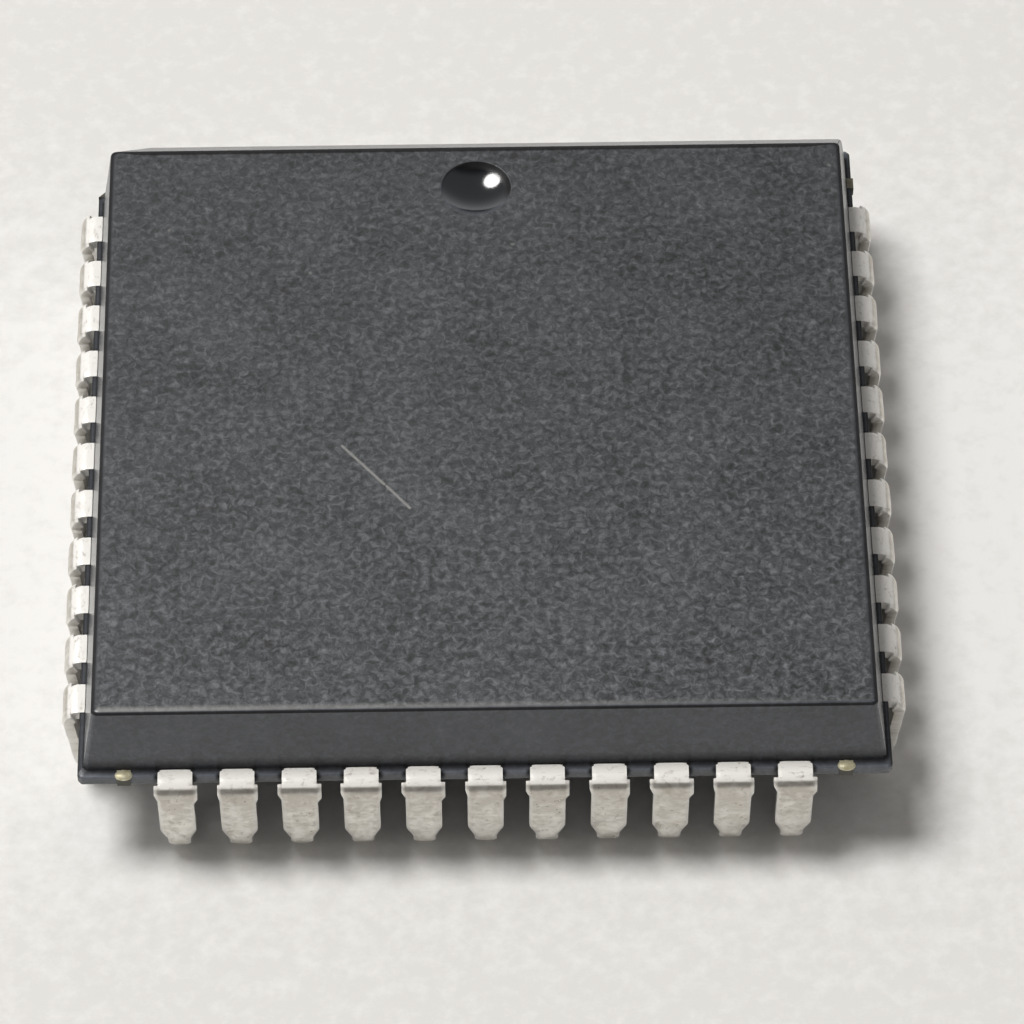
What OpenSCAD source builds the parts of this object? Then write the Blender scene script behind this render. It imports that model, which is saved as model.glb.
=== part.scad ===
// Plastic leaded chip carrier: a square moulded body with eleven J-shaped leads on each side,
// a lead frame, a die and bond wires inside it. Millimetres, +Z up, the leads stand on Z = 0.
// The first lead is at the middle of the +Y side, and the count runs anticlockwise from above.

/* [Body] */
// Width of the square body over its rim
body_w = 16.7; // [16.5:0.01:16.8]
// Height of the upper half above the rim
upper_h = 1.72; // [1.6:0.01:1.9]
// Ledge that the rim leaves at the foot of the upper half, on the first lead's side and the one across
rim_ledge = 0.18; // [0.1:0.01:0.25]
// Ledge that the rim leaves on the other two sides
side_ledge = 0.11; // [0.08:0.01:0.25]
// Slope of the upper half's walls from upright, in degrees, on the first lead's side and the one across
upper_draft = 6.5; // [3:0.5:9]
// Chamfer across the upright corner beside the first lead's side
index_chamfer = 1.14; // [1.07:0.01:1.22]
// Chamfer across the other three upright corners
corner_chamfer = 0.08; // [0.03:0.01:0.3]
// How far the 45 degree bevel of the first lead's side reaches into the top face
index_bevel = 0.89; // [0.6:0.01:1]
// Diameter of the round dimple that marks the first lead
dimple_d = 1.52; // [1.2:0.01:1.8]
// Depth of the dimple
dimple_depth = 0.22; // [0.1:0.01:0.3]
// Distance of the dimple from the middle of the body
dimple_y = 5.92; // [5.5:0.01:6]

/* [Underside] */
// Ledge that the rim leaves round the head of the lower half
lower_ledge = 0.22; // [0.15:0.01:0.3]
// Height of the lower half's outer wall
lower_wall_h = 0.32; // [0.2:0.01:0.5]
// Slope of the lower half's outer wall from upright, in degrees
lower_draft = 6.5; // [3:0.5:9]
// Width of the pedestal's flat bottom
pedestal_w = 13.4; // [12.8:0.05:13.5]
// Height of the pedestal
pedestal_h = 0.93; // [0.7:0.01:1.1]
// Slope of the pedestal's walls from upright, in degrees
pedestal_draft = 12; // [6:0.5:15]
// Height of the pedestal's bottom above the seat
standoff = 0.62; // [0.51:0.01:0.7]
// Diameter of the ejector mark in the pedestal's bottom
ejector_d = 3; // [2:0.1:4]
// Depth of the ejector mark
ejector_depth = 0.06; // [0.03:0.01:0.1]

/* [Leads] */
// Pitch of the leads along a side
lead_pitch = 1.27; // [1.25:0.005:1.28]
// Thickness of the lead frame
lead_t = 0.25; // [0.2:0.01:0.28]
// Width over the leads of two opposite sides
lead_span = 17.48; // [17.4:0.01:17.65]
// Height of the lead frame's upper face above the seat
lead_top = 2.75; // [2.6:0.01:3]
// Width of a lead's shoulder where it leaves the body
shoulder_w = 0.71; // [0.66:0.01:0.74]
// Outer radius of the bend from the shoulder into the leg
shoulder_r = 0.36; // [0.3:0.01:0.4]
// Width over the sheared stubs at the top of the leg
stub_w = 0.86; // [0.84:0.01:0.95]
// Depth of the stubs' upper edge below the shoulder's upper face
stub_drop = 0.05; // [0.03:0.01:0.2]
// Height of the stubs at their full width
stub_h = 0.22; // [0.15:0.01:0.4]
// Height over which the stubs run out into the leg
stub_run = 0.2; // [0.15:0.01:0.5]
// Width of the leg
leg_w = 0.74; // [0.7:0.01:0.8]
// Lean of the leg towards the body on its way down, in degrees
leg_lean = 6; // [2:0.5:8]
// Height above the seat at which the leg starts to narrow
taper_top = 1.08; // [0.95:0.01:1.2]
// Height over which the leg narrows
taper_h = 0.35; // [0.2:0.01:0.4]
// Width of the foot
foot_w = 0.46; // [0.4:0.01:0.53]
// Outer radius of the foot's curve
foot_r = 0.85; // [0.75:0.01:0.95]
// Angle at which the tip rises under the body, in degrees
tip_rise = 45; // [30:1:50]
// Length of the straight tip past the curve
tip_l = 0.16; // [0.05:0.01:0.2]

/* [Lead frame] */
// Length of a finger's straight root inside the body
root_l = 0.9; // [0.6:0.05:1]
// Width of a finger at its tip
finger_tip_w = 0.38; // [0.3:0.01:0.42]
// Pitch of the finger tips
finger_tip_pitch = 0.75; // [0.7:0.01:0.78]
// Gap between the paddle and the finger tips
finger_gap = 0.55; // [0.45:0.01:0.7]
// Width of the square paddle under the die
paddle_w = 8; // [7.6:0.05:8.2]
// Width of the tie bars that carry the paddle
tie_w = 0.28; // [0.2:0.01:0.32]
// Distance of the tie bars' ends from the middle of the body, along the side
tie_exit = 7.4; // [7.3:0.01:7.5]
// How far the sheared tie bars stand proud of the rim
tie_proud = 0.04; // [0.02:0.01:0.08]
// Gap along the corner line between the paddle and the start of the tie bar's slope
tie_level = 0.5; // [0.3:0.05:0.6]
// Run of the tie bar's slope along the corner line
tie_slope_run = 0.7; // [0.5:0.05:1]

/* [Die and wires] */
// Width of the square die
die_w = 5; // [4.6:0.05:5.6]
// Thickness of the die
die_t = 0.35; // [0.25:0.01:0.4]
// Thickness of the glue under the die
attach_t = 0.03; // [0.02:0.005:0.05]
// Margin of glue round the die
attach_margin = 0.12; // [0.05:0.01:0.25]
// Distance of the bond pads from the die's edge
pad_inset = 0.12; // [0.08:0.01:0.2]
// Pitch of the bond pads along an edge of the die
pad_pitch = 0.42; // [0.36:0.01:0.44]
// Distance of the bond from a finger's tip
bond_inset = 0.2; // [0.12:0.01:0.3]
// Diameter of a bond wire
wire_d = 0.033; // [0.025:0.001:0.05]
// Height of a bond wire's loop
loop_h = 0.25; // [0.15:0.01:0.4]
// Diameter of the ball bond on the die
ball_d = 0.08; // [0.07:0.005:0.12]
// Height of the ball bond
ball_h = 0.02; // [0.015:0.001:0.03]

/* [Hidden] */
$fn = 64;
// Leads on a side, sides and leads in all
side_lead_count = 11;
sides = 4;
side_angle = 360 / sides;
lead_count = side_lead_count * sides;
// Row of the middle lead of a side, and the places from the corner to the first lead
mid_row = (side_lead_count - 1) / 2;
// Overrun of a cut past the face it leaves
over = 1;
// Flats round a drawn bond wire
wire_flats = 8;

frame_low = lead_top - lead_t;
top_z = lead_top + upper_h;
top_set = rim_ledge + upper_h * tan(upper_draft);
wall_low = frame_low - lower_wall_h;
pedestal_top = standoff + pedestal_h;
pedestal_set = (body_w - pedestal_w) / 2;

// Offsets of a wall from the rim, and the heights that they hold at, from the bottom up
function body_levels(ledge) = [
    [-pedestal_set, standoff],
    [-pedestal_set + pedestal_h * tan(pedestal_draft), pedestal_top],
    [-lower_ledge - lower_wall_h * tan(lower_draft), wall_low],
    [-lower_ledge, frame_low],
    [0, frame_low],
    [0, lead_top],
    [-ledge, lead_top],
    [-top_set, top_z]
];

// Distances of the rim's flats and corner planes from the middle
flat_d = body_w / 2;
corner_d = (body_w - corner_chamfer) / sqrt(2);
index_d = (body_w - index_chamfer) / sqrt(2);
bevel_y = flat_d - top_set - index_bevel;
dimple_r = (pow(dimple_d / 2, 2) + pow(dimple_depth, 2)) / (2 * dimple_depth);

// Centre of the shoulder's bend, and the straight leg from there to the foot's curve
bend_u = lead_span / 2 - shoulder_r;
bend_z = lead_top - shoulder_r;
leg_l = (bend_z - foot_r + (foot_r - shoulder_r) * sin(leg_lean)) / cos(leg_lean);
foot_turn = 90 + tip_rise - leg_lean;
// Angle round the shoulder's bend at which the stubs start
stub_angle = asin((shoulder_r - stub_drop) / shoulder_r);

// Ends of the fingers, and the bonds on fingers and die
root_u = flat_d - root_l;
finger_u = paddle_w / 2 + finger_gap;
bond_u = finger_u + bond_inset;
bond_share = bond_inset / (root_u - finger_u);
pad_u = die_w / 2 - pad_inset;

// The die's upper face is level with the fingers
paddle_top = lead_top - die_t - attach_t;
paddle_low = paddle_top - lead_t;
paddle_corner = paddle_w / sqrt(2);
slope_start = paddle_corner + tie_level;
slope_end = slope_start + tie_slope_run;

function lead_name(k) = str("lead_", k < 10 ? "0" : "", k);
function lead_place(k) = (k + mid_row - 1) % lead_count;
function lead_side(k) = floor(lead_place(k) / side_lead_count);
function lead_row(k) = lead_place(k) % side_lead_count - mid_row;
function wires_name(s) = str("bond_wires_", ["back", "left", "front", "right"][s]);
function turn(s) = side_angle * (s + 1);
// Middle of a finger at its bond
function bond_v(row) = row * (finger_tip_pitch + (lead_pitch - finger_tip_pitch) * bond_share);

// Block behind one wall that faces the given angle and follows the given offsets
module wall(angle, d, levels) {
    last = levels[len(levels) - 1];
    rotate([90, 0, angle])
        linear_extrude(height = 2 * body_w, center = true)
            polygon(concat(
                [for (p = levels) [d + p[0], p[1]]],
                [[-body_w, last[1]], [-body_w, levels[0][1]]]
            ));
}

// Moulded block with drafted walls, three small corners that keep one chamfer all the way up,
// and the index corner at -X +Y, which drafts like the walls
module moulded(levels, side_levels) {
    corner_levels = [for (p = levels) [p[0] * sqrt(2), p[1]]];
    intersection() {
        wall(0, flat_d, side_levels);
        wall(90, flat_d, levels);
        wall(180, flat_d, side_levels);
        wall(270, flat_d, levels);
        wall(45, corner_d, corner_levels);
        wall(135, index_d, levels);
        wall(225, corner_d, corner_levels);
        wall(315, corner_d, corner_levels);
    }
}

module dimple() {
    translate([0, dimple_y, top_z + dimple_r - dimple_depth]) sphere(r = dimple_r);
}

// Wedge above the 45 degree bevel of the first lead's side
module bevel_cut() {
    rotate([90, 0, 90])
        linear_extrude(height = 2 * body_w, center = true)
            polygon([
                [bevel_y - over, top_z + over],
                [bevel_y + upper_h, top_z - upper_h],
                [bevel_y + upper_h + over, top_z + over]
            ]);
}

module ejector_mark() {
    translate([0, 0, standoff - over]) cylinder(d = ejector_d, h = ejector_depth + over);
}

module mould_body() {
    color([0.27, 0.27, 0.28])
        difference() {
            moulded(body_levels(rim_ledge), body_levels(side_ledge));
            bevel_cut();
            dimple();
            ejector_mark();
            for (k = [1 : lead_count])
                rotate([0, 0, turn(lead_side(k))]) finger(lead_row(k), bend_u + over);
            die_paddle();
            die_attach();
            die();
            for (s = [0 : sides - 1]) bond_wires(s);
        }
}

// Band of the lead's thickness round a bend, between two angles, with its axis along Y
module bend(r, from, to, w) {
    rotate([90, 0, 0])
        rotate([0, 0, from])
            rotate_extrude(angle = to - from)
                translate([r - lead_t, -w / 2]) square([lead_t, w]);
}

// Straight length that leaves a bend at its lower end
module straight(r, at, l, w) {
    rotate([0, -at, 0]) translate([r - lead_t, -w / 2, -l]) cube([lead_t, w, l]);
}

// Front view of the leg, from the stubs down to the narrow foot
module leg_front() {
    stub_top = lead_top - stub_drop;
    half = [
        [stub_w / 2, lead_top + over],
        [stub_w / 2, stub_top - stub_h],
        [leg_w / 2, stub_top - stub_h - stub_run],
        [leg_w / 2, taper_top],
        [foot_w / 2, taper_top - taper_h],
        [foot_w / 2, -over]
    ];
    last = len(half) - 1;
    polygon(concat(half, [for (i = [0 : last]) [-half[last - i][0], half[last - i][1]]]));
}

// Leg, foot and tip below the shoulder's bend, as wide as the stubs, on the leg's own axes
module leg_blank() {
    bend(shoulder_r, 0, leg_lean + stub_angle, stub_w);
    straight(shoulder_r, 0, leg_l, stub_w);
    translate([shoulder_r - foot_r, 0, -leg_l]) {
        bend(foot_r, -foot_turn, 0, stub_w);
        straight(foot_r, -foot_turn, tip_l, stub_w);
    }
}

// Bend, leg and foot of one lead
module formed_lead() {
    translate([bend_u, 0, bend_z]) bend(shoulder_r, stub_angle, 90, shoulder_w);
    intersection() {
        translate([bend_u, 0, bend_z]) rotate([0, leg_lean, 0]) leg_blank();
        rotate([90, 0, 90]) linear_extrude(height = lead_span) leg_front();
    }
}

// Finger and shoulder of one lead, from the given distance out to the tip beside the paddle
module finger(row, out_u) {
    tip_v = row * finger_tip_pitch;
    root_v = row * lead_pitch;
    translate([0, 0, frame_low])
        linear_extrude(height = lead_t)
            polygon([
                [out_u, root_v - shoulder_w / 2],
                [out_u, root_v + shoulder_w / 2],
                [root_u, root_v + shoulder_w / 2],
                [finger_u, tip_v + finger_tip_w / 2],
                [finger_u, tip_v - finger_tip_w / 2],
                [root_u, root_v - shoulder_w / 2]
            ]);
}

module lead(k) {
    color([0.78, 0.76, 0.72])
        rotate([0, 0, turn(lead_side(k))]) {
            translate([0, lead_row(k) * lead_pitch, 0]) formed_lead();
            finger(lead_row(k), bend_u);
        }
}

// Tie bar along the corner line, stepping up from the paddle to the lead frame's level
module tie_slope() {
    rotate([90, 0, 0])
        linear_extrude(height = tie_w, center = true)
            polygon([
                [paddle_corner - tie_w, paddle_low],
                [slope_start, paddle_low],
                [slope_end, frame_low],
                [slope_end + tie_w, frame_low],
                [slope_end + tie_w, lead_top],
                [slope_end, lead_top],
                [slope_start, paddle_top],
                [paddle_corner - tie_w, paddle_top]
            ]);
}

// Level part of a tie bar, along the corner line and then out past the rim towards +X
module tie_run() {
    half = tie_w / 2;
    start = slope_end / sqrt(2);
    side = tie_w / sqrt(8);
    mitre = half / cos(22.5);
    bend_at = mitre * [cos(112.5), sin(112.5)];
    translate([0, 0, frame_low])
        linear_extrude(height = lead_t)
            polygon([
                [start + side, start - side],
                [tie_exit - bend_at[0], tie_exit - bend_at[1]],
                [flat_d + over, tie_exit - half],
                [flat_d + over, tie_exit + half],
                [tie_exit + bend_at[0], tie_exit + bend_at[1]],
                [start - side, start + side]
            ]);
}

module tie_bar() {
    rotate([0, 0, 45]) tie_slope();
    tie_run();
}

module die_paddle() {
    tie_levels = [[tie_proud, paddle_low - over], [tie_proud, top_z]];
    color([0.72, 0.52, 0.3])
        intersection() {
            union() {
                translate([-paddle_w / 2, -paddle_w / 2, paddle_low]) cube([paddle_w, paddle_w, lead_t]);
                tie_bar();
                mirror([1, 0, 0]) tie_bar();
                rotate([0, 0, -90]) tie_bar();
                mirror([1, 0, 0]) rotate([0, 0, -90]) tie_bar();
            }
            moulded(tie_levels, tie_levels);
        }
}

module die_attach() {
    glue_w = die_w + 2 * attach_margin;
    color([0.75, 0.75, 0.78])
        translate([-glue_w / 2, -glue_w / 2, paddle_top]) cube([glue_w, glue_w, attach_t]);
}

module die() {
    color([0.35, 0.36, 0.42])
        translate([-die_w / 2, -die_w / 2, paddle_top + attach_t]) cube([die_w, die_w, die_t]);
}

// One wire: up from its ball on the die, over a knee and straight down to the finger of the same row
module bond_wire(row) {
    pad_v = row * pad_pitch;
    run_u = bond_u - pad_u;
    run_v = bond_v(row) - pad_v;
    chord = norm([run_u, run_v]);
    fall = atan2(loop_h, chord);
    translate([pad_u, pad_v, lead_top]) {
        cylinder(d = ball_d, h = ball_h);
        cylinder(d = wire_d, h = loop_h + wire_d / 2, $fn = wire_flats);
    }
    intersection() {
        translate([pad_u, pad_v, lead_top + loop_h])
            rotate([0, 0, atan2(run_v, run_u)])
                rotate([0, 90 + fall, 0])
                    translate([0, 0, -wire_d / 2])
                        cylinder(d = wire_d, h = 2 * chord, $fn = wire_flats);
        translate([0, -body_w / 2, lead_top]) cube([body_w / 2, body_w, upper_h]);
    }
}

module bond_wires(s) {
    color([0.9, 0.72, 0.3])
        rotate([0, 0, turn(s)])
            for (row = [-mid_row : mid_row]) bond_wire(row);
}

mould_body();
for (k = [1 : lead_count]) lead(k);
die_paddle();
die_attach();
die();
for (s = [0 : sides - 1]) bond_wires(s);
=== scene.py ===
import math
import bpy
import numpy as np
from mathutils import Matrix, Vector


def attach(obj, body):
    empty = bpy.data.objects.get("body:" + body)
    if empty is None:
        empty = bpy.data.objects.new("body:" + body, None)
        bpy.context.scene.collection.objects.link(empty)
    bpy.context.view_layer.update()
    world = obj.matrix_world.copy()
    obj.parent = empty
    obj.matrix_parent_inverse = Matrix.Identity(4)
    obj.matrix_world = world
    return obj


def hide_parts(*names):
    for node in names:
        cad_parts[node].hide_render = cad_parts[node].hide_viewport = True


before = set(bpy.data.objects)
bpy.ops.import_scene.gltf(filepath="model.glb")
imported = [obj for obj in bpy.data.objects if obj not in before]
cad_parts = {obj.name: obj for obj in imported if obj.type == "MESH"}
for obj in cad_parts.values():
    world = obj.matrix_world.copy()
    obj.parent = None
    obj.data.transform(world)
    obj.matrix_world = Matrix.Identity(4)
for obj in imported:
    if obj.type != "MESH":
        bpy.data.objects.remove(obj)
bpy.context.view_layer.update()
scene = bpy.context.scene
scene.view_settings.view_transform = "Standard"
mm = 0.001                                   # the shapes below are worked out in millimetres
diagonal = math.sqrt(0.5)
print("frame loaded:", len(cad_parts), "nodes")


# camera: the fitted place of the photograph's lens, looking at a point on the lead frame's level
shot = {"yaw": 0.95706, "tilt": 52.65506, "roll": -0.0088, "far": 117.769,
        "slideX": -0.686, "slideY": 1.31211, "aimZ": 2.75, "focalPixels": 5508.22, "framePixels": 1024,
        "sensor": 36, "clip": (0.005, 20)}


def makeCamera():
    yaw, tilt, roll = (math.radians(shot[k]) for k in ("yaw", "tilt", "roll"))
    ahead = Vector((math.sin(yaw) * math.cos(tilt), math.cos(yaw) * math.cos(tilt), -math.sin(tilt)))
    level = Vector((math.cos(yaw), -math.sin(yaw), 0))
    rise = level.cross(ahead)
    across = level * math.cos(roll) + rise * math.sin(roll)
    upward = rise * math.cos(roll) - level * math.sin(roll)
    place = (Vector((0, 0, shot["aimZ"])) - ahead * shot["far"]
             - across * shot["slideX"] - upward * shot["slideY"])
    data = bpy.data.cameras.new("photoLens")
    data.sensor_width = shot["sensor"]
    data.lens = shot["focalPixels"] * data.sensor_width / shot["framePixels"]
    data.clip_start, data.clip_end = shot["clip"]
    camera = bpy.data.objects.new("photoLens", data)
    scene.collection.objects.link(camera)
    axes = Matrix((across, upward, -ahead)).transposed().to_4x4()
    camera.matrix_world = Matrix.Translation(place * mm) @ axes
    scene.camera = camera


makeCamera()
print("camera set")


# shader sums: a Sock is one output of a node, and numbers or other Socks join it by operators
class Sock:
    def __init__(self, tree, out=None):
        self.tree, self.out = tree, out

    def make(self, kind, settings=None, sockets=None, out=0):
        node = self.tree.nodes.new(kind)
        for key, value in (settings or {}).items():
            setattr(node, key, value)
        for key, value in (sockets or {}).items():
            if isinstance(value, Sock):
                self.tree.links.new(value.out, node.inputs[key])
            else:
                node.inputs[key].default_value = value
        return Sock(self.tree, node.outputs[out] if len(node.outputs) else None)

    def sum(self, operation, first, second):
        return self.make("ShaderNodeMath", {"operation": operation}, {0: first, 1: second})

    def __add__(self, other): return self.sum("ADD", self, other)
    def __radd__(self, other): return self.sum("ADD", other, self)
    def __sub__(self, other): return self.sum("SUBTRACT", self, other)
    def __rsub__(self, other): return self.sum("SUBTRACT", other, self)
    def __mul__(self, other): return self.sum("MULTIPLY", self, other)
    def __rmul__(self, other): return self.sum("MULTIPLY", other, self)
    def __truediv__(self, other): return self.sum("DIVIDE", self, other)
    def __rtruediv__(self, other): return self.sum("DIVIDE", other, self)
    def __abs__(self): return self.sum("ABSOLUTE", self, 0.0)
    def __pow__(self, other): return self.sum("POWER", self, other)
    def atMost(self, other): return self.sum("MINIMUM", self, other)
    def atLeast(self, other): return self.sum("MAXIMUM", self, other)

    # one coordinate of a vector, in millimetres where the vector is a place
    def axis(self, number, unit=mm):
        return self.make("ShaderNodeSeparateXYZ", None, {"Vector": self}, number) / unit

    def stretched(self, x, y, z):
        return self.make("ShaderNodeVectorMath", {"operation": "MULTIPLY"}, {0: self, 1: (x, y, z)})

    # 0 below low, 1 above high, smooth between
    def step(self, low, high):
        return self.make("ShaderNodeMapRange", {"interpolation_type": "SMOOTHSTEP"},
                         {"Value": self, "From Min": low, "From Max": high})

    def blend(self, first, second):
        return self.make("ShaderNodeMix", {"data_type": "RGBA"}, {"Factor": self, 6: first, 7: second}, 2)

    def noise(self, size, detail=3.0, rough=0.55, twist=0.0):
        return self.make("ShaderNodeTexNoise", None,
                         {"Vector": self, "Scale": 1 / (size * mm), "Detail": detail,
                          "Roughness": rough, "Distortion": twist})

    def bump(self, depth, strength=1.0):
        return self.make("ShaderNodeBump", None, {"Height": self, "Strength": strength, "Distance": depth * mm})


def shade(r, g, b):
    return (r, g, b, 1.0)


def newFinish(name):
    material = bpy.data.materials.new(name)
    material.use_nodes = True
    material.node_tree.nodes.clear()
    return material, Sock(material.node_tree)


# a finish may be covered in part by a second surface
def closeFinish(start, sockets, covered=None, cover=None):
    surface = start.make("ShaderNodeBsdfPrincipled", None, sockets)
    if cover:
        upper = start.make("ShaderNodeBsdfPrincipled", None, cover)
        surface = start.make("ShaderNodeMixShader", None, {0: covered, 1: surface, 2: upper})
    start.make("ShaderNodeOutputMaterial", None, {"Surface": surface})


# skin of rings: point (ring, column) joins the next column, which wraps round, and the next ring;
# a single point closes each end that has one
def ringSkin(name, rings, firstPole=None, lastPole=None):
    ringCount, columns = rings.shape[:2]
    points = [rings.reshape(-1, 3)]
    here = np.arange(ringCount * columns).reshape(ringCount, columns)
    beside = np.roll(here, -1, axis=1)
    quads = np.stack([here[:-1], beside[:-1], beside[1:], here[1:]], -1).reshape(-1, 4)
    fans, total = [], ringCount * columns
    for pole, ring, flip in ((firstPole, 0, True), (lastPole, -1, False)):
        if pole is not None:
            points.append(np.asarray(pole, float).reshape(1, 3))
            tip = np.full(columns, total)
            pair = (beside[ring], here[ring]) if flip else (here[ring], beside[ring])
            fans.append(np.stack([pair[0], pair[1], tip], -1))
            total += 1
    fans = np.concatenate(fans) if fans else np.zeros((0, 3), int)
    return fillMesh(name, np.concatenate(points), quads, fans)


def fillMesh(name, points, quads, fans):
    mesh = bpy.data.meshes.new(name)
    corners = np.concatenate([quads.ravel(), fans.ravel()]).astype(np.int32)
    sizes = np.concatenate([np.full(len(quads), 4), np.full(len(fans), 3)])
    mesh.vertices.add(len(points))
    mesh.vertices.foreach_set("co", (points * mm).astype(np.float32).ravel())
    mesh.loops.add(len(corners))
    mesh.loops.foreach_set("vertex_index", corners)
    mesh.polygons.add(len(sizes))
    mesh.polygons.foreach_set("loop_start", (np.cumsum(sizes) - sizes).astype(np.int32))
    mesh.update(calc_edges=True)
    mesh.validate()
    mesh.polygons.foreach_set("use_smooth", np.ones(len(sizes), bool))
    piece = bpy.data.objects.new(name, mesh)
    scene.collection.objects.link(piece)
    return piece


def pointValues(piece, name, values):
    piece.data.attributes.new(name, "FLOAT", "POINT").data.foreach_set("value", np.asarray(values, np.float32))


def dress(piece, material, slot, *nodes):
    piece.data.materials.append(material)
    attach(piece, "root")
    if nodes:
        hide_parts(*nodes)


# path through corners with each inner corner turned into an arc: the arc starts radius * tan(turn / 2)
# before the corner, and its points step evenly in angle round the arc's middle
def roundedPath(corners, radii, steps=5):
    p = np.asarray(corners, float)
    before, after = p[1:-1] - p[:-2], p[2:] - p[1:-1]
    before /= np.linalg.norm(before, axis=1, keepdims=True)
    after /= np.linalg.norm(after, axis=1, keepdims=True)
    turn = np.arctan2(before[:, 0] * after[:, 1] - before[:, 1] * after[:, 0], (before * after).sum(1))
    r = np.asarray(radii, float)
    start = p[1:-1] - before * (r * np.tan(np.abs(turn) / 2))[:, None]
    side = np.stack([-before[:, 1], before[:, 0]], -1) * np.sign(turn)[:, None]
    angle = np.abs(turn)[:, None] * np.linspace(0, 1, steps)
    arcs = (start[:, None] + before[:, None] * (r[:, None] * np.sin(angle))[..., None]
            + side[:, None] * (r[:, None] * (1 - np.cos(angle)))[..., None])
    return np.concatenate([p[:1], arcs.reshape(-1, 2), p[-1:]])


# moulded body
body = {"width": 16.7, "upperHeight": 1.72, "rimLedge": 0.18, "sideLedge": 0.11, "upperDraft": 6.5,
        "indexChamfer": 1.14, "cornerChamfer": 0.08, "indexBevel": 0.89,
        "dimpleWidth": 1.52, "dimpleDepth": 0.22, "dimpleY": 5.92,
        "lowerLedge": 0.22, "lowerWall": 0.32, "lowerDraft": 6.5,
        "pedestalWidth": 13.4, "pedestalHeight": 0.93, "pedestalDraft": 12, "standoff": 0.62,
        "ejectorWidth": 3, "ejectorDepth": 0.06, "ejectorSteps": (-0.8, -0.08, -0.03, -0.01, 0.01, 0.04),
        "leadTop": 2.75, "leadThick": 0.25, "flash": 0.008,
        "topEdge": 0.08, "bevelEdge": 0.12, "dimpleEdge": 0.03, "rimCorner": 0.06, "topCorner": 0.13,
        "profileRadii": (0.06, 0.1, 0.05, 0.03, 0.022, 0.03, 0.03), "bottomInset": 0.3, "wallStart": 0.35,
        "topInsets": (0.05, 0.09, 0.13), "topShares": (0.2, 0.4, 0.6, 0.8, 0.92, 1),
        "bottomInsets": (0.1,), "bottomShares": (0.25, 0.5, 0.75, 1),
        "flatSteps": 72, "backSteps": 120, "cornerSteps": 5, "edgeShare": 0.004,
        "wallSteps": 40, "arcSteps": 9, "dimpleEdgeSteps": 7, "dimpleSteps": 18}


# the body's marks: how far a column faces the viewer where the front edge begins, shares at the last rings,
# turns round the dimple in radians, and how marks fade from ring to ring
marked = {"frontFrom": 0.5, "frontBlend": 0.3, "rearFrom": 0.999, "lineEnd": 0.7, "highlightEnd": 0.5,
          "backTurn": 0.3, "rightTurn": 0.75, "rightFade": (1, 0.8, 0.4), "frontFade": (1, 1, 0.8, 0.4),
          "ledgeHeight": 0.05, "rimReach": 0.03}


# outline of one level: eight planes, flats and corner planes in turn, each at its distance from the middle;
# a column is a share of the way between two corners of the outline, drawn in by the corner radius and
# pushed back out along the column's own direction
def bodyOutline(distance, radius):
    inner = distance - radius[:, None]
    odd = np.arange(1, 8, 2)
    inner[:, odd] = np.minimum(inner[:, odd], diagonal * (inner[:, odd - 1] + inner[:, (odd + 1) % 8]))
    angle = np.arange(8) * math.pi / 4
    normal = np.stack([np.cos(angle), np.sin(angle)], -1)
    along = np.stack([-np.sin(angle), np.cos(angle)], -1)
    corner = inner[..., None] * normal + (np.roll(inner, -1, 1) / diagonal - inner)[..., None] * along
    share = {"flat": edgeShares(body["flatSteps"]), "back": edgeShares(body["backSteps"]),
             "cut": np.array([0, 0.5, 1])}
    first, second, part, turned = [], [], [], []
    turnSteps = np.linspace(0, math.pi / 4, body["cornerSteps"] + 2)[1:-1]
    for i in range(8):
        shares = share["cut" if i % 2 else "back" if i == 2 else "flat"]
        straight = np.full(len(shares), angle[i])
        for a, f, t in ((i - 1, shares, straight), (i, 0 * turnSteps, angle[i] + turnSteps)):
            first.append(np.full(len(f), a % 8))
            second.append(np.full(len(f), i))
            part.append(f)
            turned.append(t)
    first, second, part, turned = (np.concatenate(x) for x in (first, second, part, turned))
    spot = corner[:, first] * (1 - part)[:, None] + corner[:, second] * part[:, None]
    facing = np.stack([np.cos(turned), np.sin(turned)], -1)
    return spot + radius[:, None, None] * facing, facing


# even shares of a side, with one more close to each end
def edgeShares(steps):
    near = body["edgeShare"]
    return np.concatenate([[0, near], np.linspace(0, 1, steps)[1:-1], [1 - near, 1]])


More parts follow.
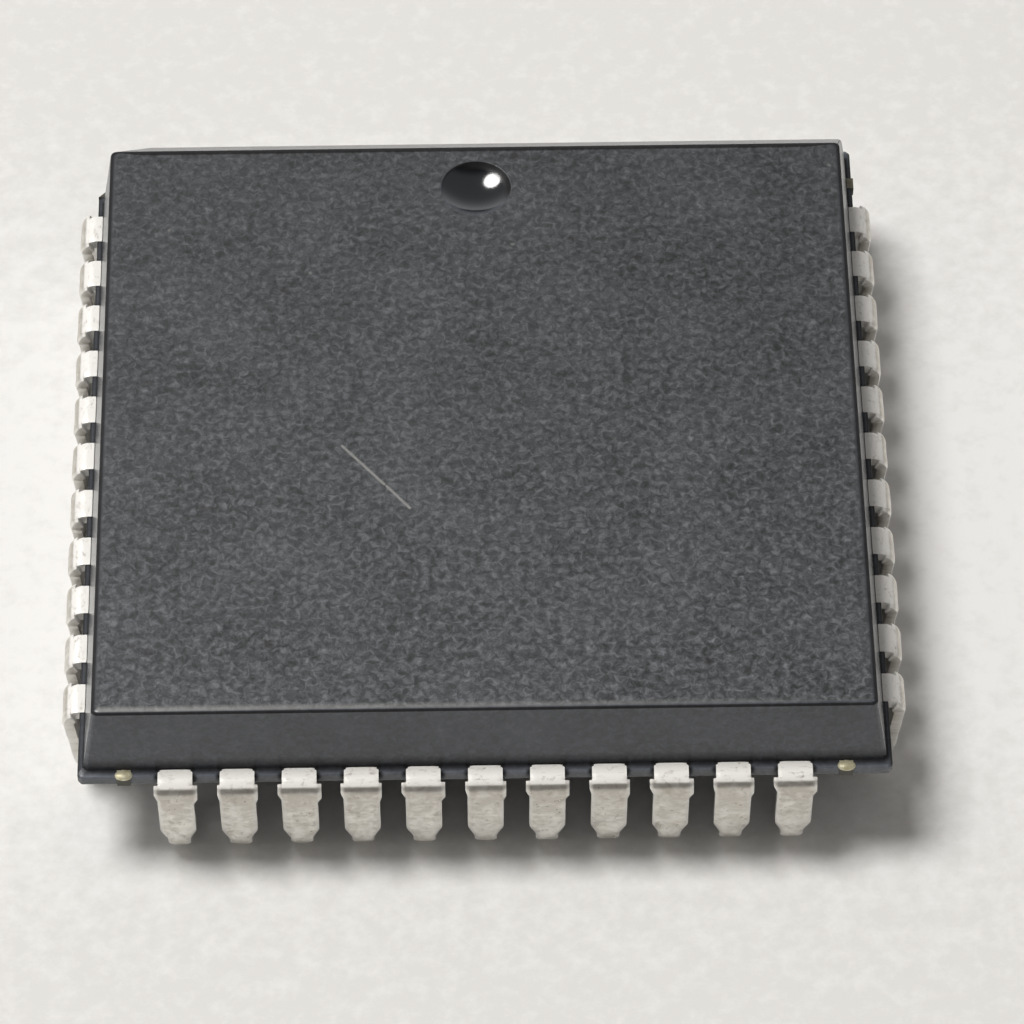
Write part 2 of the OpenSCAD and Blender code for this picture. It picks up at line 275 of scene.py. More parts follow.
def makeBody(material):
    b = body
    half = b["width"] / 2
    frameLow, topZ = b["leadTop"] - b["leadThick"], b["leadTop"] + b["upperHeight"]
    draft = math.tan(math.radians(b["upperDraft"]))
    pedestalOut = -(b["width"] - b["pedestalWidth"]) / 2
    wallLow = frameLow - b["lowerWall"]
    lowIn = -b["lowerLedge"] - b["lowerWall"] * math.tan(math.radians(b["lowerDraft"]))
    pedestalIn = pedestalOut + b["pedestalHeight"] * math.tan(math.radians(b["pedestalDraft"]))
    upperFoot = -b["rimLedge"]
    ledgeZ = b["leadTop"] - b["flash"]           # a hair under the leads, which lie bare on the ledge

    def wallAt(z):
        return upperFoot - (z - b["leadTop"]) * draft

    # profile as offset from the rim and height, from the pedestal's bottom to the upper wall
    wallStart = b["leadTop"] + b["wallStart"]
    profile = roundedPath(
        [(pedestalOut - b["bottomInset"], b["standoff"]), (pedestalOut, b["standoff"]),
         (pedestalIn, b["standoff"] + b["pedestalHeight"]), (lowIn, wallLow), (-b["lowerLedge"], frameLow),
         (0, frameLow), (0, ledgeZ), (upperFoot, ledgeZ), (wallAt(wallStart), wallStart)],
        b["profileRadii"])
    # upper wall by height, then the arc into the top face
    r = b["topEdge"]
    arc = np.radians(np.concatenate([[-b["upperDraft"]], np.linspace(0, 90, b["arcSteps"])]))
    arcMid = wallAt(topZ - r + r * math.sin(arc[0])) - r * math.cos(arc[0])
    wallZ = np.concatenate([np.linspace(wallStart, topZ - 2 * r, b["wallSteps"])[1:], [topZ - 1.2 * r]])
    z = np.concatenate([profile[:, 1], wallZ, topZ - r + r * np.sin(arc)])
    offset = np.concatenate([profile[:, 0], wallAt(wallZ), arcMid + r * np.cos(arc)])
    # back side: the 45 degree bevel takes over from the wall, with a soft join of the two
    bevelLine = topZ + half + wallAt(topZ) - b["indexBevel"] - z
    gap = np.clip(0.5 + 0.5 * (half + offset - bevelLine) / b["bevelEdge"], 0, 1)
    softened = (half + offset) * (1 - gap) + bevelLine * gap - b["bevelEdge"] * gap * (1 - gap)
    topArc = z > topZ - r + r * diagonal
    bevelMid = topZ + half + wallAt(topZ) - b["indexBevel"] - (topZ - r) - r / diagonal
    onArc = bevelMid + np.sqrt(np.clip(r * r - (z - topZ + r) ** 2, 0, None))
    back = np.where(z < wallStart, half + offset, np.where(topArc, onArc, softened))
    # the two plain sides have a narrower ledge, which the wall's slope makes up for at the top
    lift = np.clip((z - b["leadTop"]) / b["upperHeight"], 0, 1)
    widen = ((b["rimLedge"] - b["sideLedge"]) * np.clip(-offset / b["rimLedge"], 0, 1)
             * (1 - lift) * (z > ledgeZ - 1e-6))
    corner = (b["width"] - b["cornerChamfer"]) * diagonal + (offset + widen / 2) / diagonal
    index = (b["width"] - b["indexChamfer"]) * diagonal + offset
    flat, side = half + offset, half + offset + widen
    distance = np.stack([side, corner, back, index, side, corner, flat, corner], -1)
    radius = b["rimCorner"] + (b["topCorner"] - b["rimCorner"]) * lift
    plan, facing = bodyOutline(distance, radius)
    wall = np.concatenate([plan, np.broadcast_to(z[:, None, None], plan.shape[:2] + (1,))], -1)

    # flat faces: straight lines from the outline to a circle, at the angle at which its middle sees the column;
    # the first rings lie at fixed distances in from the outline, the rest at shares of the way left
    def faceRings(loop, middle, circle, insets, shares):
        insets, shares = np.array(insets), np.array(shares)
        away = loop[:, :2] - middle
        ring = middle + circle * away / np.linalg.norm(away, axis=1, keepdims=True)
        flatRing = np.concatenate([ring, loop[:, 2:]], -1)
        near = insets[:, None] / ((loop[:, :2] - ring) * facing).sum(1)
        part = np.concatenate([near, near[-1] + (1 - near[-1]) * shares[:, None]])[..., None]
        return loop * (1 - part) + flatRing * part

    def roundRings(loop, middle, radii, heights):
        away = loop[:, :2] - middle
        away /= np.linalg.norm(away, axis=1, keepdims=True)
        ring = middle + np.asarray(radii)[:, None, None] * away
        tall = np.broadcast_to(np.asarray(heights)[:, None, None], ring.shape[:2] + (1,))
        return np.concatenate([ring, tall], -1)

    # dimple: a bowl of one radius, and a small arc over its rim that touches the face and the bowl
    bowl = ((b["dimpleWidth"] / 2) ** 2 + b["dimpleDepth"] ** 2) / (2 * b["dimpleDepth"])
    bowlZ, e = topZ + bowl - b["dimpleDepth"], b["dimpleEdge"]
    rimMid = math.sqrt((bowl + e) ** 2 - (bowlZ - topZ + e) ** 2)
    meet = math.asin(rimMid / (bowl + e))
    over = np.linspace(0, meet, b["dimpleEdgeSteps"])
    down = np.linspace(meet, 0, b["dimpleSteps"])[1:-1]
    spot = np.array([0, b["dimpleY"]])
    topFace = faceRings(wall[-1], spot, rimMid + 0.01, b["topInsets"], b["topShares"])
    dimple = roundRings(wall[-1], spot, np.concatenate([rimMid - e * np.sin(over), bowl * np.sin(down)]),
                        np.concatenate([topZ - e + e * np.cos(over), bowlZ - bowl * np.cos(down)]))
    # ejector mark in the pedestal's bottom
    mark, sunk, base = b["ejectorWidth"] / 2, b["standoff"] + b["ejectorDepth"], b["standoff"]
    ejector = roundRings(wall[0], np.zeros(2), mark + np.array(b["ejectorSteps"]),
                         np.array([sunk, sunk, sunk - 0.008, base + 0.02, base + 0.004, base]))
    bottom = faceRings(wall[0], np.zeros(2), mark + 0.08, b["bottomInsets"], b["bottomShares"])[::-1]
    rings = np.concatenate([ejector, bottom, wall, topFace, dimple])
    piece = ringSkin("mouldedBody", rings, (0, 0, sunk), (0, b["dimpleY"], topZ - b["dimpleDepth"]))
    # marks for the finish, by ring and column: 1 on the grained top face, in the polished dimple, on the
    # ledge, on the rim's edge, on the painted dark line of shade where the walls turn into the top, and on the
    # painted highlight along the front edge above that line
    wallStartRing = len(ejector) + len(bottom)
    wallEnd = wallStartRing + len(wall)
    arcStart, faceEnd = wallEnd - len(arc), wallEnd + len(topFace)
    m = marked
    front = np.clip((-facing[:, 1] - m["frontFrom"]) / m["frontBlend"], 0, 1)
    rear = facing[:, 1] > m["rearFrom"]
    around = np.arctan2(wall[-1, :, 1] - spot[1], wall[-1, :, 0] - spot[0])
    names = ("grainedTop", "polished", "ledge", "rimEdge", "shadeLine", "edgeHighlight")
    marks = {name: np.zeros(rings.shape[:2]) for name in names}
    # painted shade: a dark line where the walls turn into the top, thinner in front and full at the back
    marks["shadeLine"][arcStart + 2:wallEnd - 1] = 1
    marks["shadeLine"][wallEnd - 1] = m["lineEnd"]
    marks["shadeLine"][[arcStart + 2, wallEnd - 3, wallEnd - 2, wallEnd - 1]] *= 1 - front
    marks["shadeLine"][wallEnd - 1:wallEnd + 1, rear] = 1
    # painted highlight along the front top edge
    marks["edgeHighlight"][wallEnd - 2:wallEnd + 1] = front
    marks["edgeHighlight"][wallEnd + 1] = m["highlightEnd"] * front
    # painted dark reflection: the dimple's dark edge runs round its back, and on the right a little way down the
    # bowl
    marks["shadeLine"][faceEnd + 1:faceEnd + len(over)] = np.clip(0.5 + 1.5 * np.sin(around + m["backTurn"]), 0, 1)
    rightSide = np.clip((np.cos(around - m["rightTurn"]) - 0.2) / 0.5, 0, 1)
    rightFade, frontFade = (np.array(m[name])[:, None] for name in ("rightFade", "frontFade"))
    marks["shadeLine"][faceEnd + len(over):][:len(rightFade)] = rightFade * rightSide
    marks["grainedTop"][wallEnd:faceEnd] = 1
    bowlStart = faceEnd + len(over) - 1
    frontSide = np.clip(-1.5 * np.sin(around) - 0.2, 0, 1)
    marks["polished"][bowlStart:] = 1
    marks["polished"][bowlStart:][:len(frontFade)] -= frontFade * frontSide
    onLedge = (z > ledgeZ - 1e-6) & (z < ledgeZ + m["ledgeHeight"]) & (offset < -m["rimReach"])
    onRim = (offset > -m["rimReach"]) & (z > frameLow + m["ledgeHeight"])
    marks["ledge"][wallStartRing:wallEnd] = onLedge[:, None]
    marks["rimEdge"][wallStartRing:wallEnd] = onRim[:, None]
    for name, values in marks.items():
        pointValues(piece, name, np.concatenate([values.ravel(), values[[0, -1], 0]]))
    dress(piece, material, "mould_compound", "mould_body")


# black moulding compound: grained matte on the top, satin on the walls, polished in the dimple, a rim
# lightened partly as rubbed wear and partly as a painted highlight, a painted highlight along the front top
# edge that fades to the right, and painted shade on the ledge, beside each lead, on the side rims and along
# the dark lines; the top has one scratch in two strokes and a few pale specks
compound = {"black": shade(0, 0, 0), "grey": shade(0.475, 0.505, 0.55), "wallGrey": shade(0.46, 0.50, 0.58),
            "topTone": 0.0115, "litSlope": 0.0003, "wallTone": 0.064, "deepTone": 0.006, "rubbedAndSheen": 0.10,
            "grain": 0.16, "grainTone": 0.13, "speckSheenSlope": 0.03, "grainDeep": 0.012,
            "haze": 2.4, "hazeTone": 0.06,
            "satin": 0.22, "matte": 0.55, "polish": 0.13, "coatDull": 0.09,
            "scratch": [(-2.90, -1.17, -2.02, -2.20), (-1.97, -2.25, -1.49, -2.83)], "scratchWidth": 0.034,
            "specks": [(0.78, 4.31), (-6.66, 4.83), (-3.60, 3.57), (7.72, 6.45)], "speckWidth": 0.06,
            "mark": shade(0.30, 0.30, 0.29), "markShare": 0.75, "highlightShare": (0.31, -0.033),
            # painted shade: its reach beside the leads, its strength on the ledge, side rims and dark lines, and
            # the cover's finish and colours
            "shadeReach": (0.38, 0.48), "shadeEnd": (6.9, 7.0), "ledgeShade": 0.75, "rimShade": 0.8,
            "lineShade": 0.88, "covered": 0.92, "shadeDull": 0.8, "shadeShine": 0.1,
            "shadeDark": shade(0.006, 0.006, 0.006), "shadeLight": shade(0.020, 0.018, 0.018)}


# distance of a place from a stroke: the share along it, held between its ends, gives the nearest point
def strokeDistance(x, y, stroke):
    x0, y0, x1, y1 = stroke
    runX, runY = x1 - x0, y1 - y0
    length = runX * runX + runY * runY
    along = (((x - x0) * runX + (y - y0) * runY) / max(length, 1e-9)).atLeast(0.0).atMost(1.0)
    return ((x - x0 - along * runX) ** 2.0 + (y - y0 - along * runY) ** 2.0) ** 0.5


def wearMarks(at, x, y):
    shaky = at.noise(0.12, 2.0, 0.5)
    marks = 0.0
    line, dot = compound["scratchWidth"], compound["speckWidth"]
    for stroke in compound["scratch"]:
        near = strokeDistance(x, y, stroke) + (shaky - 0.5) * 0.03
        marks = (1 - near.step(0.4 * line, 1.3 * line)) * (0.45 + shaky) + marks
    for spot in compound["specks"]:
        near = strokeDistance(x, y, spot + spot) + (shaky - 0.5) * 0.1
        marks = (1 - near.step(0.3 * dot, dot)) * 0.45 + marks
    return marks.atMost(1.0)


def compoundFinish():
    q = compound
    material, start = newFinish("mouldCompound")
    at = start.make("ShaderNodeTexCoord", None, None, 3)
    x, y = at.axis(0), at.axis(1)
    top, polish, ledge, rim, line, litEdge = (
        start.make("ShaderNodeAttribute", {"attribute_name": name}, None, 2)
        for name in ("grainedTop", "polished", "ledge", "rimEdge", "shadeLine", "edgeHighlight"))
    grain = at.noise(q["grain"], 3.0, 0.7, 0.6)
    haze = at.noise(q["haze"], 3.0, 0.6)
    # painted shade beside a lead: the place along the side, folded into one pitch, is the distance from a lead's
    # middle
    along = abs(x).atMost(abs(y))
    fold = start.sum("FRACT", along / lead["pitch"] + 0.5, 0.0)
    beside = 1 - (abs(fold - 0.5) * lead["pitch"]).step(*q["shadeReach"])
    beside = beside * (1 - along.step(*q["shadeEnd"]))
    frontOrBack = (abs(y) - abs(x)).step(-0.1, 0.1)
    # painted shade on the ledge, beside each lead, on the side rims and along the dark lines, drawn as a near
    # black dull cover
    creviceShade = (beside * ledge.atLeast(rim)).atLeast(ledge * q["ledgeShade"])
    creviceShade = creviceShade.atLeast(rim * (1 - frontOrBack) * q["rimShade"])
    paintedShade = creviceShade.atLeast(line * q["lineShade"])
    # pale specks: the square of the grain, on the walls a fainter one; towards the front the specks grow
    # brighter as a painted sheen
    speck = (grain * 2.0 - 0.44).atLeast(0.0) ** 2.0 * q["grainTone"] * (1 - y * q["speckSheenSlope"])
    # painted light: the top is a little lighter towards the back and left, where the lamps are
    topTone = q["topTone"] + y * q["litSlope"] - x * q["litSlope"] + speck
    tone = topTone * top + (q["wallTone"] + speck * 0.3) * (1 - top)
    # the rim is lightened with the haze, partly as rubbed wear and partly as a painted highlight
    tone = tone + (haze - 0.5) * q["hazeTone"] + rim * haze * q["rubbedAndSheen"]
    tone = tone * (1 - polish) + polish * q["deepTone"]
    colour = (tone * 2.0).atLeast(0.008).atMost(1.0).blend(q["black"], top.blend(q["wallGrey"], q["grey"]))
    marks = wearMarks(at, x, y) * top
    # painted highlight along the front top edge: lighter at the left, towards the lamps, and grained
    pale = litEdge * (q["highlightShare"][0] + x * q["highlightShare"][1]) * (0.4 + grain * 1.2)
    colour = (marks * q["markShare"]).atLeast(pale).blend(colour, q["mark"])
    dull = q["satin"] + top * (q["matte"] - q["satin"]) + grain * 0.06
    roughness = dull * (1 - polish) + polish * q["polish"] + line * 0.3
    # the second surface is the near black cover of painted shade
    closeFinish(start, {"Base Color": colour, "Roughness": roughness,
                        "Coat Weight": polish, "Coat Roughness": q["coatDull"],
                        "Normal": (grain * (0.15 + top * 0.85)).bump(q["grainDeep"], 0.6)},
                paintedShade * q["covered"],
                {"Base Color": grain.blend(q["shadeDark"], q["shadeLight"]), "Roughness": q["shadeDull"],
                 "Specular IOR Level": q["shadeShine"]})
    return material


# J-lead: a strip carried along its path; the path is the strip's outer face, with its outward direction,
# and each station has its own half widths, so the stubs, the leg and the narrow foot come from one sweep
lead = {"pitch": 1.27, "thick": 0.25, "span": 17.48, "top": 2.75,
        "shoulderWidth": 0.71, "shoulderRadius": 0.36,
        "stubWidth": 0.86, "stubDrop": 0.04, "stubHeights": (0.15, 0.31), "stubRun": 0.18, "stubVary": 0.015,
        "legWidth": 0.74, "legLean": 6, "taperTop": 1.08, "taperHeight": 0.35,
        "footWidth": 0.46, "footRadius": 0.85, "tipRise": 45, "tipLength": 0.16,
        "rootLength": 0.9, "fingerTipWidth": 0.38, "fingerTipPitch": 0.75, "fingerStart": 4.55,
        "rollWidth": 0.09, "rollDepth": 0.035, "backEdge": 0.02, "bareCorner": 0.04, "bareStart": 0.05,
        "dent": 0.016, "crease": 38, "perSide": 11, "sides": 4, "seed": 44,
        "bareSteps": 7, "bendSteps": 26, "legSteps": 22, "footSteps": 34, "tipSteps": (0.5, 0.9, 1)}


def leadPath():
    q = lead
    half, lean = q["span"] / 2, math.radians(q["legLean"])
    turn = math.radians(90 + q["tipRise"] - q["legLean"])
    bendU, bendZ = half - q["shoulderRadius"], q["top"] - q["shoulderRadius"]
    footR, shoulderR = q["footRadius"], q["shoulderRadius"]
    legLength = (bendZ - footR + (footR - shoulderR) * math.sin(lean)) / math.cos(lean)
    rootU = body["width"] / 2 - q["rootLength"]
    wallU = body["width"] / 2 - body["rimLedge"] + q["bareStart"]
    bareU = wallU + q["bareCorner"] * np.linspace(0, 1, q["bareSteps"]) ** 2
    flatU = np.concatenate([[q["fingerStart"], rootU, wallU - 0.1], bareU,
                            [(wallU + q["bareCorner"] + bendU) / 2]])
    flat = np.stack([flatU, np.full(len(flatU), q["top"]), np.zeros(len(flatU))], -1)
    stubA = math.acos(1 - q["stubDrop"] / shoulderR)
    bendA = np.linspace(0, math.pi / 2 + lean, q["bendSteps"])
    bendA = np.sort(np.concatenate([bendA, [stubA - 0.004, stubA + 0.004]]))
    bend = np.stack([bendU + shoulderR * np.sin(bendA), bendZ + shoulderR * np.cos(bendA), bendA], -1)
    down = np.linspace(0, legLength, q["legSteps"])[1:-1]
    leg = np.stack([bend[-1, 0] - down * math.sin(lean), bend[-1, 1] - down * math.cos(lean),
                    np.full(len(down), bendA[-1])], -1)
    endU, endZ = bend[-1, 0] - legLength * math.sin(lean), bend[-1, 1] - legLength * math.cos(lean)
    midU, midZ = endU - footR * math.sin(bendA[-1]), endZ - footR * math.cos(bendA[-1])
    footA = np.linspace(bendA[-1], bendA[-1] + turn, q["footSteps"])
    foot = np.stack([midU + footR * np.sin(footA), midZ + footR * np.cos(footA), footA], -1)
    ahead = np.array([math.cos(footA[-1]), -math.sin(footA[-1]), 0])
    tip = foot[-1] + np.array(q["tipSteps"])[:, None] * ahead * q["tipLength"]
    return np.concatenate([flat, bend, leg, foot, tip])


# strip's section: flat outer face, edges rolled over by the stamping, which fall with a power of the way
# across them, and a square back with small edges; a point has a share of the half width, its own step in
# from the edge, and its depth
def leadSection(steps=5):
    q = lead
    quarter = np.linspace(0, math.pi / 2, steps)
    across = np.linspace(0, 1, steps)
    rollV, rollD = q["rollWidth"] * (across - 1), q["rollDepth"] * across ** 1.5
    backV = q["backEdge"] * (np.cos(quarter[::2]) - 1)
    backD = q["thick"] - q["backEdge"] * (1 - np.sin(quarter[::2]))
    edgeV, edgeD = np.concatenate([rollV, backV]), np.concatenate([rollD, backD])
    face, rear = np.linspace(-1, 1, 9)[1:-1], np.linspace(1, -1, 4)[1:-1]
    share = np.concatenate([face, np.ones(len(edgeV)), rear, -np.ones(len(edgeV))])
    stepV = np.concatenate([-q["rollWidth"] * face, edgeV, -q["backEdge"] * rear, -edgeV[::-1]])
    depth = np.concatenate([0 * face, edgeD, 0 * rear + q["thick"], edgeD[::-1]])
    return share, stepV, depth


def makeLeads(material):
    q = lead
    path = leadPath()
    u, z, angle = path[:, 0], path[:, 1], path[:, 2]
    share, stepV, depth = leadSection()
    run = np.concatenate([[0], np.cumsum(np.hypot(np.diff(u), np.diff(z)))])
    outU, outZ = np.sin(angle), np.cos(angle)
    tall = np.where(angle > math.pi / 2 + 0.2, -1.0, z)      # the foot and tip keep the foot's width
    stubTop = q["top"] - q["stubDrop"]
    rootU = body["width"] / 2 - q["rootLength"]
    wallU = body["width"] / 2 - body["rimLedge"] + q["bareStart"]
    rng = np.random.default_rng(q["seed"])
    for k in range(1, q["perSide"] * q["sides"] + 1):
        place = (k + (q["perSide"] - 1) // 2 - 1) % (q["perSide"] * q["sides"])
        side, row = place // q["perSide"], place % q["perSide"] - (q["perSide"] - 1) // 2
        vary = rng.uniform(-1, 1, 16)
        inner = np.where(angle > 0, 1, np.clip((u - q["fingerStart"]) / (rootU - q["fingerStart"]), 0, 1))
        middle = row * (q["fingerTipPitch"] + (q["pitch"] - q["fingerTipPitch"]) * inner)
        widths = []
        for s in (0, 1):                                     # the two sheared sides differ a little
            stub = q["stubWidth"] + 2 * q["stubVary"] * ((1 if row % 2 else -1) + 0.6 * vary[s])
            stubLow = stubTop - q["stubHeights"][s] + 0.03 * vary[2 + s]
            levels = [(-2, q["footWidth"]), (q["taperTop"] - q["taperHeight"], q["footWidth"]),
                      (q["taperTop"], q["legWidth"]), (stubLow - q["stubRun"], q["legWidth"]),
                      (stubLow, stub), (stubTop - 1e-4, stub),
                      (stubTop + 1e-4, q["shoulderWidth"]), (9, q["shoulderWidth"])]
            width = np.interp(tall, *np.array(levels).T)
            finger = q["fingerTipWidth"] + (q["shoulderWidth"] - q["fingerTipWidth"]) * inner
            bare = np.clip((u - wallU) / q["bareCorner"], 0, 1)      # the wall's foot covers the lead's corners
            width = width - 2 * q["bareCorner"] * (1 - np.sqrt(1 - (1 - bare) ** 2)) * (angle == 0)
            widths.append(np.where((u < rootU + 1e-6) & (angle == 0), finger, width) / 2)
        # shallow dents of the formed face: three crossed waves, gone at the strip's start
        waves = sum(np.sin(run[:, None] * (5.5 + 3 * i + 1.5 * vary[4 + i]) + share * (1.2 + 1.6 * vary[7 + i])
                           + 6.3 * vary[10 + i]) / 3 for i in range(3))
        formed = np.clip((angle[:, None] - 0.9) / 0.5, 0, 1) * np.clip((z[:, None] - 0.06) / 0.3, 0, 1)
        # the rolled edges are slight on the flat shoulder and full from the bend on
        bent = np.clip(angle[:, None] / 0.5, 0.15, 1)
        outer = depth < q["thick"] / 2
        rollPart = (np.abs(share) == 1) & outer
        dents = q["dent"] * 0.5 * (1 + waves) * formed * np.where(outer, 1.0, 0.3)
        sink = np.where(rollPart, depth * bent, depth) + 0.001 + dents
        halfWidth = np.where(share < 0, widths[0][:, None], widths[1][:, None])
        v = middle[:, None] + share * halfWidth + stepV
        local = np.stack([u[:, None] - sink * outU[:, None], v, z[:, None] - sink * outZ[:, None]], -1)
        turn = math.pi / 2 * (side + 1)
        spin = np.array([[math.cos(turn), math.sin(turn), 0], [-math.sin(turn), math.cos(turn), 0], [0, 0, 1]])
        rings = local @ spin
        piece = ringSkin("jLead%02d" % k, rings, rings[0].mean(0), rings[-1].mean(0))
        piece.data.set_sharp_from_angle(angle=math.radians(q["crease"]))
        rolled = np.where(rollPart, np.sqrt(depth / q["rollDepth"]), 0)
        rolled = np.broadcast_to(rolled, rings.shape[:2]).ravel()
        pointValues(piece, "rolledEdge", np.concatenate([rolled, [0, 0]]))
        grid = np.stack(np.broadcast_arrays(v - middle[:, None], run[:, None], 0.0), -1)
        flow = piece.data.attributes.new("flow", "FLOAT_VECTOR", "POINT")
        ends = np.array([[0, run[0], 0], [0, run[-1], 0]])
        flow.data.foreach_set("vector", (np.concatenate([grid.reshape(-1, 3), ends]) * mm
                                         + np.array([0, 0, k * 2 * mm])).astype(np.float32).ravel())
        dress(piece, material, "lead_plating", "lead_%02d" % k)


# dull tin plate: warm grey, clouded, with faint ripples across the strip and stains; whiter and duller on the
# shoulder, where streaks and scuffs show, its white partly a painted highlight; a brownish band of painted shade
# under the bend that fades down the leg, paler on the rolled edges, and paler towards the foot as painted light;
# the runs are lengths along the strip from the finger's start
tin = {"base": shade(0.62, 0.59, 0.53), "light": shade(0.86, 0.84, 0.79), "dark": shade(0.40, 0.36, 0.31),
       "edge": shade(0.92, 0.905, 0.86), "top": shade(0.975, 0.96, 0.92), "shadeBand": shade(0.34, 0.295, 0.27),
       "roughness": 0.30, "metallic": 0.66, "topRun": (4.05, 4.12), "shadeBandRun": (4.16, 4.32),
       "legShadeRun": (4.4, 5.1), "litFootRun": (4.6, 5.9), "shadeBandShare": 0.03, "legShadeShare": 0.14,
       "stubEdge": (0.34, 0.375)}


def tinFinish():
    q = tin
    material, start = newFinish("tinPlate")
    flow = start.make("ShaderNodeAttribute", {"attribute_name": "flow"}, None, 1)
    rolled = start.make("ShaderNodeAttribute", {"attribute_name": "rolledEdge"}, None, 2)
    run = flow.axis(1)
    cloud = flow.noise(0.28, 3.0, 0.6, 0.4)
    ripple = flow.stretched(0.4, 1.0, 1.0).noise(0.10, 2.0, 0.5)
    # painted light: the leg grows paler towards the foot
    litFoot, leg = run.step(*q["litFootRun"]), run.step(*q["topRun"])
    pale = (cloud * 0.7 + ripple * 0.3 - 0.46) * 5.0 + litFoot * 0.45
    colour = pale.atLeast(0.0).atMost(1.0).blend(q["base"], q["light"])
    stain = flow.noise(0.18, 2.0, 0.5, 0.8).step(0.56, 0.72) * 0.55
    colour = stain.blend(colour, q["dark"])
    # painted shade: a brownish band under the bend, fading down the upper leg
    shadeBand = (1 - run.step(*q["shadeBandRun"])) * q["shadeBandShare"] + (1 - run.step(*q["legShadeRun"])) * q["legShadeShare"]
    colour = (leg * shadeBand).blend(colour, q["shadeBand"])
    colour = (rolled * (0.5 + cloud * 0.6)).atMost(1.0).blend(colour, q["edge"])
    stub = abs(flow.axis(0)).step(*q["stubEdge"])
    streak = flow.stretched(0.12, 1.0, 1.0).noise(0.06, 2.0, 0.5).step(0.5, 0.66)
    scuff = flow.stretched(0.4, 1.3, 1.0).noise(0.09, 3.0, 0.6).step(0.55, 0.64)
    clear = 1.25 - stain - streak * 0.3 - scuff * 0.55
    # the shoulder's near white is partly matte tin and partly a painted highlight
    colour = ((1 - leg) * clear.atLeast(0.0) * (1 - stub * 0.7)).atMost(1.0).blend(colour, q["top"])
    roughness = q["roughness"] + cloud * 0.14 - 0.07
    metallic = q["metallic"] * (0.12 + leg * 0.88) * (1 - rolled * 0.4)
    closeFinish(start, {"Base Color": colour, "Roughness": roughness, "Metallic": metallic,
                        "Normal": (cloud * 0.6 + ripple * 0.4).bump(0.016, 0.6)})
    return material


makeBody(compoundFinish())
print("body made")
makeLeads(tinFinish())
print("leads made:", lead["perSide"] * lead["sides"])


# pieces of the solid model that stay as they are: tie bars with the paddle, glue, die and wires;
# outside the body the tie bars' sheared faces below their upper edge are painted near black as shade
def plainFinish(name, base, light, grain, metallic, roughness):
    material, start = newFinish(name)
    at = start.make("ShaderNodeTexCoord", None, None, 3)
    cloud = at.noise(grain, 3.0, 0.6)
    x, y, z = (at.axis(i) for i in range(3))
    # painted shade: near black on tie bar faces outside the body below their upper edge, at the back left corner
    # and on the right
    shadedOutside = abs(x).atLeast(abs(y)).step(8.18, 8.22) * (1 - z.step(2.71, 2.75))
    shadedOutside = shadedOutside.atLeast((y - x).step(15.2, 15.3)).atLeast(x.step(8.05, 8.15) * 0.7)
    colour = (shadedOutside * 0.93).blend(cloud.step(0.3, 0.7).blend(base, light), compound["black"])
    closeFinish(start, {"Base Color": colour, "Roughness": roughness + cloud * 0.15,
                        "Metallic": metallic * (1 - shadedOutside), "Normal": cloud.bump(0.01, 0.4)})
    return material


# node or group: name, base and light colour, grain size, metallic, roughness and slot of its finish
inside = {"die_paddle": ("copperAlloy", shade(0.66, 0.60, 0.38), shade(0.92, 0.88, 0.68),
                         0.12, 0.5, 0.35, "copper_alloy"),
          "die_attach": ("dieGlue", shade(0.50, 0.50, 0.52), shade(0.62, 0.62, 0.64),
                         0.2, 0.2, 0.5, "die_glue"),
          "die": ("siliconDie", shade(0.10, 0.11, 0.14), shade(0.20, 0.21, 0.25),
                  0.5, 0.3, 0.2, "silicon"),
          "bond_wires": ("goldWire", shade(0.85, 0.62, 0.22), shade(0.95, 0.76, 0.36),
                         0.1, 1.0, 0.2, "gold_wire")}
finishes = {}


def dressInside():
    for start, (name, base, light, grain, metallic, roughness, slot) in inside.items():
        finishes[name] = plainFinish(name, base, light, grain, metallic, roughness)
        for node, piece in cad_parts.items():
            if node == start or node.startswith(start + "_") and start == "bond_wires":
                piece.data.materials.clear()
                piece.data.materials.append(finishes[name])


# burr left on a tie bar where it was sheared off: an ellipsoid, its half sizes along and across the rim
# and upward
tieEnd = {"half": (0.185, 0.13, 0.065), "z": 2.745, "places": [(-7.4, -8.30), (7.4, -8.30)],
          "columns": 40, "rings": 20}


def makeTieEnds():
    q = tieEnd
    down = np.linspace(-math.pi / 2, math.pi / 2, q["rings"] + 2)[1:-1, None]
    turn = np.linspace(0, 2 * math.pi, q["columns"], endpoint=False)
    sizes = np.array(q["half"])
    ball = np.stack(np.broadcast_arrays(np.cos(down) * np.cos(turn), np.cos(down) * np.sin(turn),
                                        np.sin(down)), -1)
    for number, (x, y) in enumerate(q["places"], 1):
        middle = np.array([x, y, q["z"]])
        rings = middle + sizes * ball
        poles = middle + sizes * np.array([[0, 0, -1], [0, 0, 1]])
        dress(ringSkin("tieEnd%d" % number, rings, *poles), finishes["copperAlloy"], "copper_alloy")


dressInside()
makeTieEnds()
print("inside pieces and tie bar ends dressed")


# floor: a flat sheet of off-white mottled paper, with a painted pool of light that is brightest in a belt across
# the middle
floor = {"half": 1500.0, "steps": 9, "litBelt": (2.0, 14.0), "mottle": 0.5,
         "shade": shade(0.795, 0.79, 0.77), "light": shade(0.92, 0.917, 0.905)}


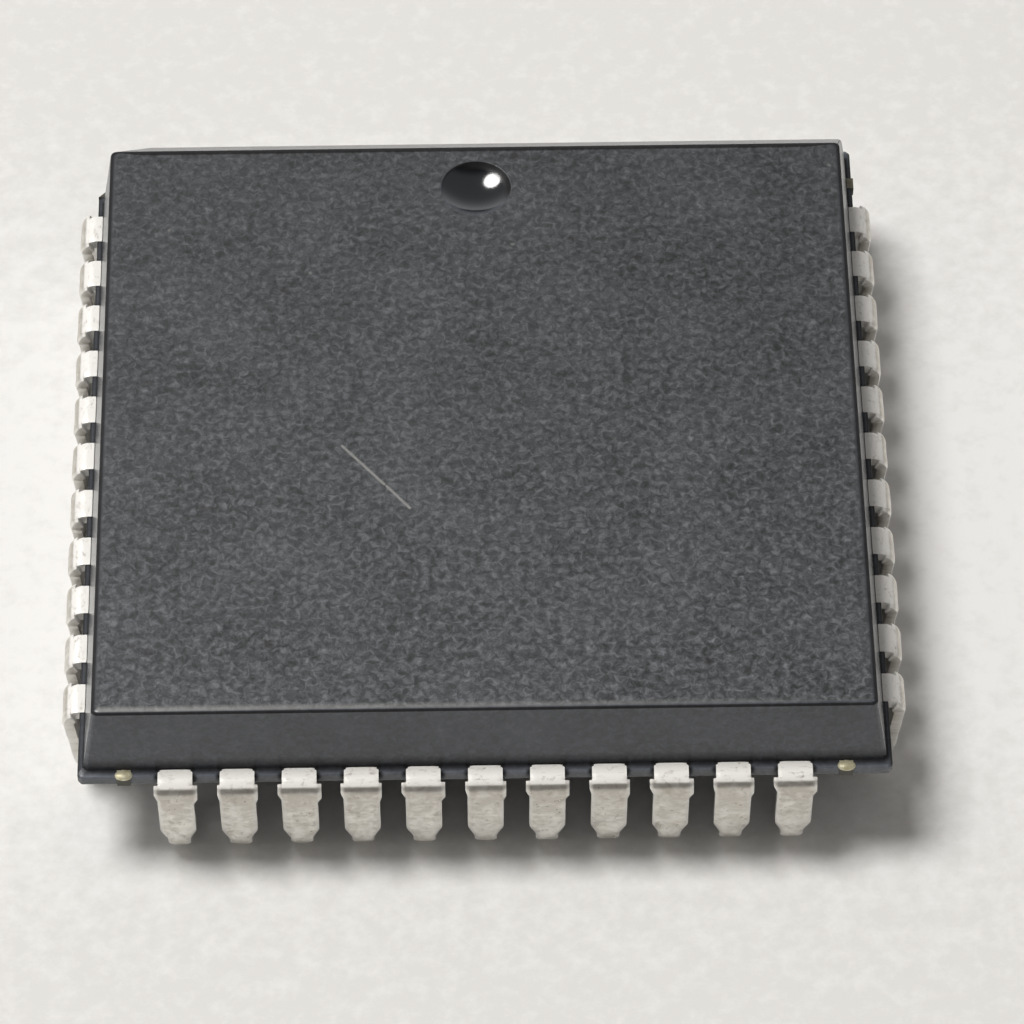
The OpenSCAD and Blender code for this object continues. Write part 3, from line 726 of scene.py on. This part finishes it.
def makeFloor():
    line = np.linspace(-floor["half"], floor["half"], floor["steps"])
    x, y = np.meshgrid(line, line, indexing="ij")
    points = np.stack([x, y, np.zeros_like(x)], -1).reshape(-1, 3)
    cell = np.arange(floor["steps"] ** 2).reshape(floor["steps"], -1)
    quads = np.stack([cell[:-1, :-1], cell[1:, :-1], cell[1:, 1:], cell[:-1, 1:]], -1).reshape(-1, 4)
    piece = fillMesh("paperFloor", points, quads, np.zeros((0, 3), int))
    material, start = newFinish("offWhitePaper")
    at = start.make("ShaderNodeTexCoord", None, None, 3)
    mottle = at.noise(floor["mottle"], 4.0, 0.7)
    # painted pool of light: brightest in a belt across the middle, darker towards front and back
    level = 1 - abs(at.axis(1)).step(*floor["litBelt"]) + (mottle - 0.5) * 2.4
    colour = level.atLeast(0.0).atMost(1.0).blend(floor["shade"], floor["light"])
    closeFinish(start, {"Base Color": colour, "Roughness": 0.8, "Normal": mottle.bump(0.02, 0.2)})
    piece.data.materials.append(material)


makeFloor()
print("floor made")


# lights: a lamp overhead to the left for the shadows, a wide weak one low on the left, a window pane that only
# shiny faces show, and a dim room; shiny faces see it dark on the viewer's side and pale along the back
lights = {"key": {"towards": (-0.315, 0.06, 0.945), "far": 350, "size": 120, "power": 0.92,
                  "tint": (1, 0.985, 0.965), "unseen": "visible_glossy"},
          "fill": {"towards": (-0.80, 0.0, 0.60), "far": 350, "size": 260, "power": 0.10,
                   "tint": (1, 0.99, 0.97), "unseen": "visible_camera"},
          "pane": {"towards": (-0.42, 0.28, 0.87), "far": 350, "size": 165, "power": 0.9,
                   "tint": (1, 0.99, 0.97), "unseen": "visible_diffuse"}}
room = {"even": 0.24, "dark": 0.03, "mirrored": 0.26, "back": 0.45,
        "warm": shade(1, 0.96, 0.925), "cool": shade(0.93, 0.97, 1)}


def makeLights():
    for name, q in lights.items():
        data = bpy.data.lights.new(name, "AREA")
        data.shape, data.size, data.energy, data.color = "DISK", q["size"] * mm, q["power"], q["tint"]
        lamp = bpy.data.objects.new(name, data)
        setattr(lamp, q["unseen"], False)
        away = Vector(q["towards"]).normalized()
        lamp.location = away * q["far"] * mm
        lamp.rotation_euler = away.to_track_quat("Z", "Y").to_euler()
        scene.collection.objects.link(lamp)


def makeRoom():
    world = bpy.data.worlds.new("paleRoom")
    world.use_nodes = True
    world.node_tree.nodes.clear()
    start = Sock(world.node_tree)
    away = start.make("ShaderNodeTexCoord")
    y, z = away.axis(1, 1.0), away.axis(2, 1.0)
    shiny = start.make("ShaderNodeLightPath", None, None, 3)
    back = y.step(0.45, 0.95) * (1 - z.step(0.0, 0.7))
    mirrored = room["dark"] + room["mirrored"] * y.step(-0.16, 0.12) + room["back"] * back
    level = room["even"] + shiny * (mirrored - room["even"])
    tint = shiny.blend(room["warm"], room["cool"])
    background = start.make("ShaderNodeBackground", None, {"Color": tint, "Strength": level})
    start.make("ShaderNodeOutputWorld", None, {"Surface": background})
    scene.world = world


makeRoom()
makeLights()
print("lights set")

bpy.context.view_layer.update()
